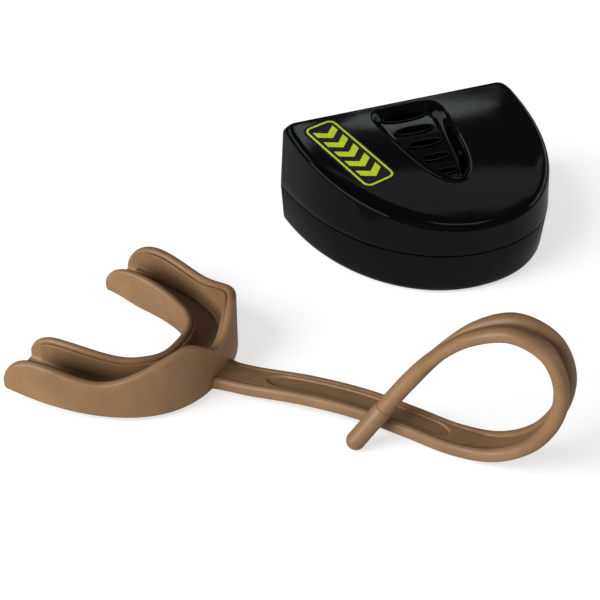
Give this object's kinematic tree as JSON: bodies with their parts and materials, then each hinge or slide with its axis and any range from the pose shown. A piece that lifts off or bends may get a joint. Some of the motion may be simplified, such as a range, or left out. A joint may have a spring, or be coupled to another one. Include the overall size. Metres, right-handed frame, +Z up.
{
  "type": "mouthguard with case",
  "caption": "Strapped U-shaped mouthguard with a self-standing loop strap, beside a glossy D-shaped clamshell case with a vented scoop in its lid.",
  "frame": {"origin": "centre of the case's underside, on the table that both items lie on", "axes": "+X along the case's hinge, +Y from the case's round front to its hinge, +Z up"},
  "size_m": [0.1882, 0.1512, 0.0447],
  "materials": {
    "case_plastic": "glossy injection-moulded black plastic",
    "pin_steel": "plain drawn steel wire",
    "decal_film": "printed glossy film, lime green with dark edges",
    "guard_rubber": "satin moulded elastomer, tan bronze",
    "liner_rubber": "softer satin elastomer, same tan bronze"
  },
  "bodies": {
    "case": {"case_base": "case_plastic", "hinge_pin": "pin_steel"},
    "lid": {"case_lid": "case_plastic", "lid_decal": "decal_film"},
    "guard": {"guard_shell": "guard_rubber", "guard_liner": "liner_rubber"},
    "strap": {"strap": "guard_rubber", "strap_toggle": "guard_rubber"}
  },
  "joints": [
    {"name": "lid_hinge", "type": "hinge", "parent": "case", "child": "lid", "pos_m": [0, 0.0341, 0.01408], "axis": [-1, 0, 0], "range_deg": [0, 115]},
    {"name": "guard_lift", "type": "slide", "parent": "case", "child": "guard", "axis": [0, 0, 1], "range_m": [0, 0.12]},
    {"name": "strap_flex", "type": "hinge", "parent": "guard", "child": "strap", "pos_m": [-0.08831, -0.04398, 0.003], "axis": [-0.7604, -0.6494, 0], "range_deg": [0, 60], "stiffness_Nm_per_rad": 0.02}
  ]
}
